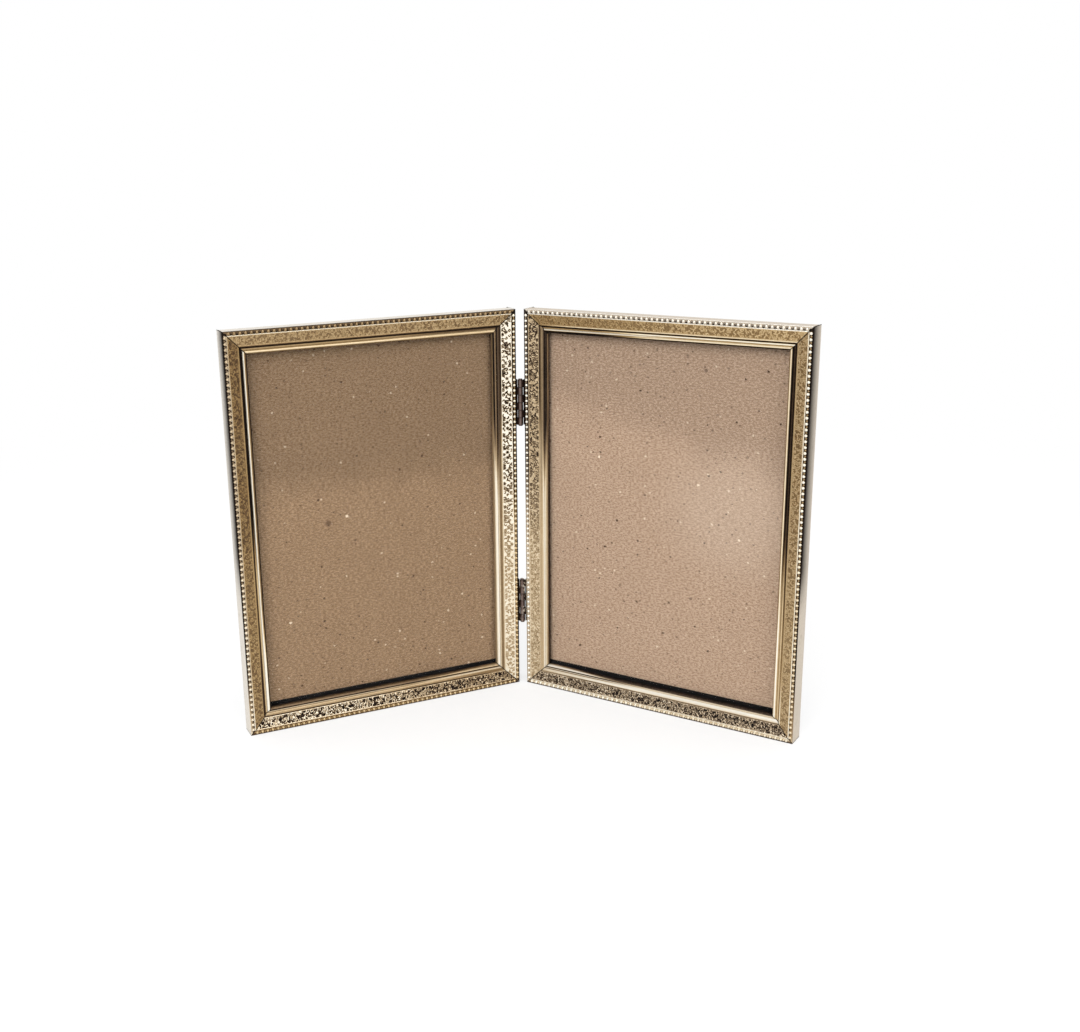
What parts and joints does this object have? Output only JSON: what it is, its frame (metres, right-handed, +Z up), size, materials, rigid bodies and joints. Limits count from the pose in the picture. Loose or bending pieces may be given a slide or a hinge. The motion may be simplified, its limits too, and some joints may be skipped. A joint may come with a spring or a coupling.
{
  "type": "double photo frame",
  "caption": "Pair of upright picture leaves in embossed metal moulding, hinged to stand open like a book, with glazed fronts and lift-out velour backs.",
  "frame": {"origin": "centre of the standing frame's footprint, on the surface it stands on", "axes": "+Z up, -Y towards the viewer in front, +X to the viewer's right; the pivot line of the hinges is parallel to Z at x = 0"},
  "size_m": [0.2646, 0.077, 0.1938],
  "materials": {
    "moulding": "antique champagne gold, satin, embossed band and pearl border with dark recesses",
    "corner_key": "plain, hidden inside the moulding",
    "glass": "clear sheet glass, polished",
    "chipboard": "raw kraft chipboard with dark and pale flecks",
    "velour": "black flocked velour, matte",
    "hinge_metal": "dark bronzed, satin, lightly worn"
  },
  "bodies": {
    "left_leaf": {"left_top_rail": "moulding", "left_bottom_rail": "moulding", "left_hinge_stile": "moulding", "left_outer_stile": "moulding", "left_corner_keys": "corner_key", "left_glass": "glass", "left_hinge_rivets": "hinge_metal", "upper_hinge_left_plate": "hinge_metal", "lower_hinge_left_plate": "hinge_metal", "upper_hinge_pin": "hinge_metal", "lower_hinge_pin": "hinge_metal"},
    "right_leaf": {"right_top_rail": "moulding", "right_bottom_rail": "moulding", "right_hinge_stile": "moulding", "right_outer_stile": "moulding", "right_corner_keys": "corner_key", "right_glass": "glass", "right_hinge_rivets": "hinge_metal", "upper_hinge_right_plate": "hinge_metal", "lower_hinge_right_plate": "hinge_metal"},
    "left_back": {"left_backing_board": "chipboard", "left_velour_cover": "velour"},
    "right_back": {"right_backing_board": "chipboard", "right_velour_cover": "velour"}
  },
  "joints": [
    {"name": "leaf_fold", "type": "hinge", "parent": "left_leaf", "child": "right_leaf", "pos_m": [0, 0.02957, 0.0969], "axis": [0, 0, 1], "range_deg": [-123, 57]},
    {"name": "left_back_slide", "type": "slide", "parent": "left_leaf", "child": "left_back", "axis": [0, 0, 1], "range_m": [0, 0.18]},
    {"name": "right_back_slide", "type": "slide", "parent": "right_leaf", "child": "right_back", "axis": [0, 0, 1], "range_m": [0, 0.18]}
  ]
}
